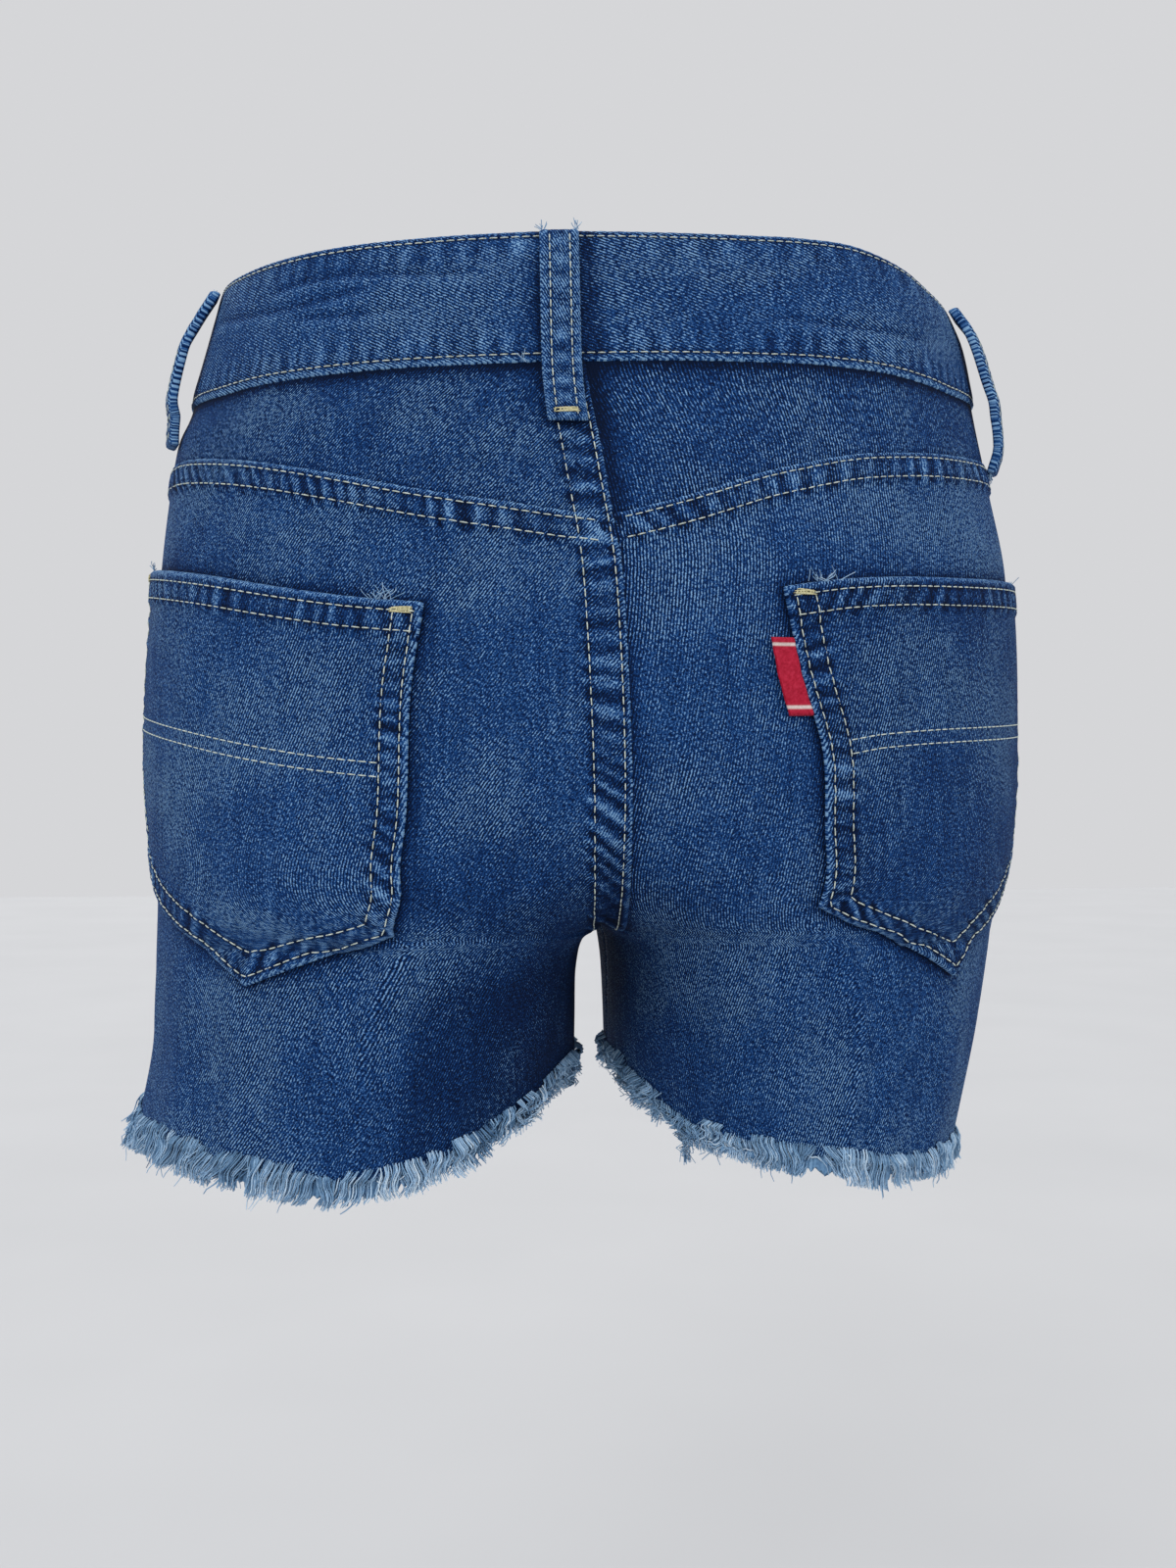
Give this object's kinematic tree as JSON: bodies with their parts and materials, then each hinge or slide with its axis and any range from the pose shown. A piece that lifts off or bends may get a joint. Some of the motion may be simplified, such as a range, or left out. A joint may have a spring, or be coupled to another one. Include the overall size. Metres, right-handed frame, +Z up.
{
  "type": "denim shorts",
  "caption": "Worn high-waisted denim cut-off shorts, hollow, with patch back pockets, belt loops, a fly and frayed hems.",
  "frame": {"origin": "middle of the waist opening, where the wearer's waist holds the shorts up", "axes": "+Z up, -Y towards the front of the shorts, +X towards the wearer's left"},
  "size_m": [0.3331, 0.2252, 0.3244],
  "materials": {
    "denim": "washed indigo twill, matt",
    "fringe": "frayed pale yarn",
    "thread": "twisted sewing thread",
    "tab": "woven satin tab",
    "zip_tape": "woven tape",
    "metal": "aged copper-coloured metal"
  },
  "bodies": {
    "root": {"waistband": "denim", "yoke_left": "denim", "yoke_right": "denim", "back_panel_left": "denim", "back_panel_right": "denim", "front_panel_left": "denim", "front_panel_right": "denim", "front_facing_left": "denim", "front_facing_right": "denim", "back_pocket_left": "denim", "back_pocket_right": "denim", "belt_loop_back": "denim", "belt_loop_side_left": "denim", "belt_loop_side_right": "denim", "belt_loop_front_left": "denim", "belt_loop_front_right": "denim", "pocket_tab": "tab", "fly_zip": "zip_tape", "fly_shield": "denim", "zip_slider": "metal", "waist_button": "metal", "fringe_left": "fringe", "fringe_right": "fringe"}
  },
  "joints": []
}
